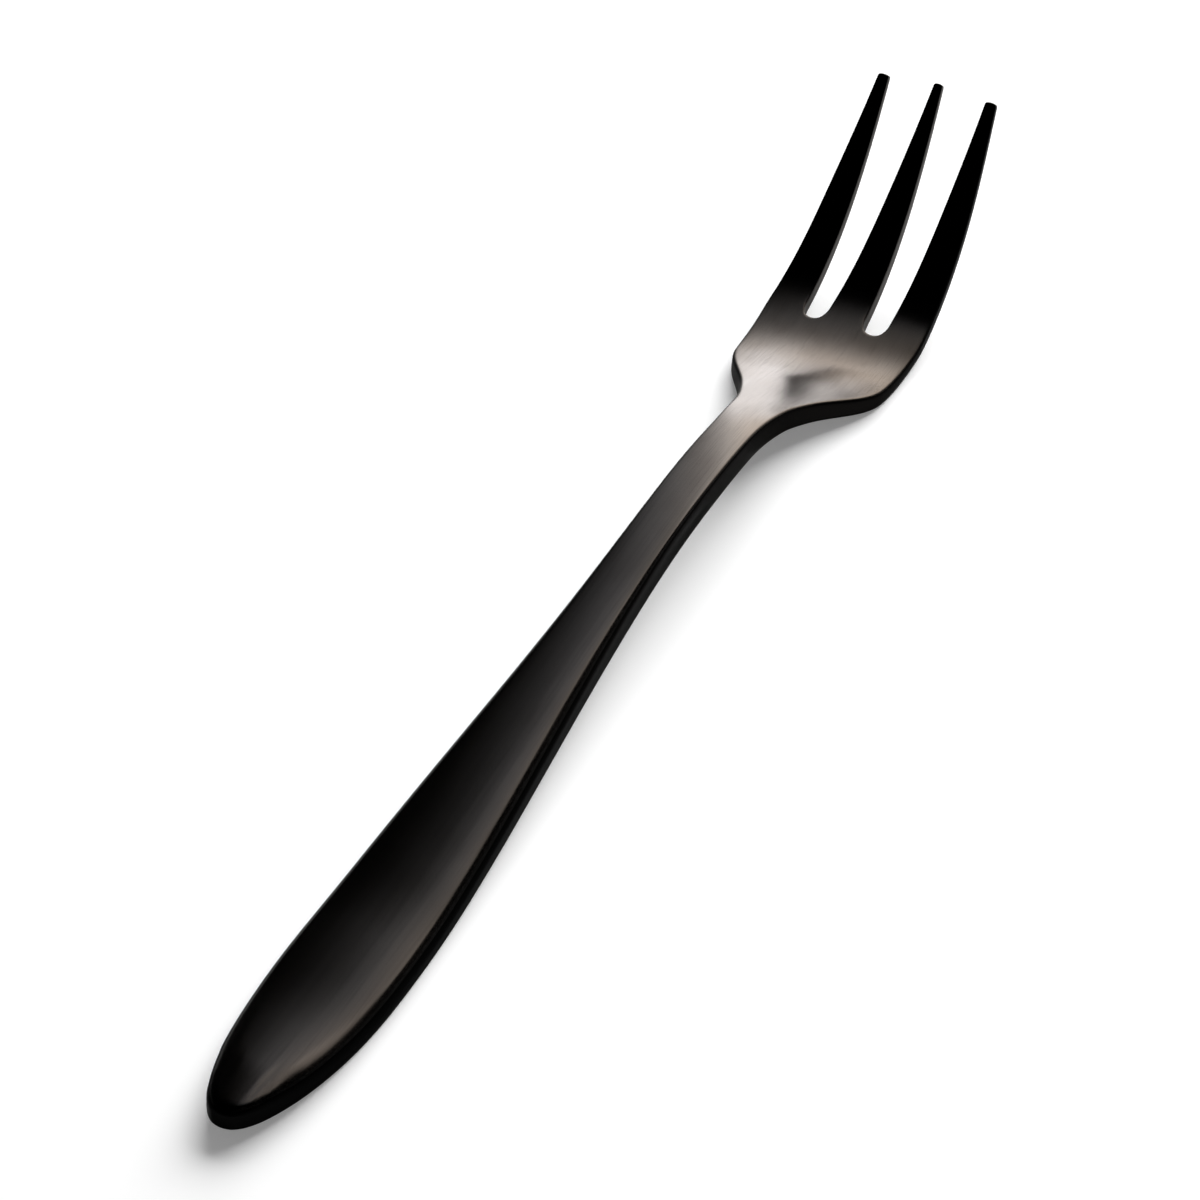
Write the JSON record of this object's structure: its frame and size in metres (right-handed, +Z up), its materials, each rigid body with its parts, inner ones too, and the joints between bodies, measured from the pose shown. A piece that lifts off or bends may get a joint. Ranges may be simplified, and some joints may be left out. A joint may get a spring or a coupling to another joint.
{
  "type": "oyster fork",
  "caption": "Short black steel oyster fork with a teardrop handle, a narrow neck and a small curved head of tapering tines, for lifting and cutting shellfish.",
  "frame": {"origin": "middle of the fork's length and width, on the table that it lies on", "axes": "+X from the handle's end to the tine tips, +Y to the left of someone looking along +X, +Z up"},
  "size_m": [0.1496, 0.018, 0.0188],
  "materials": {
    "black_steel": "black coated, satin, brushed along the length"
  },
  "bodies": {
    "root": {"fork": "black_steel"}
  },
  "joints": []
}
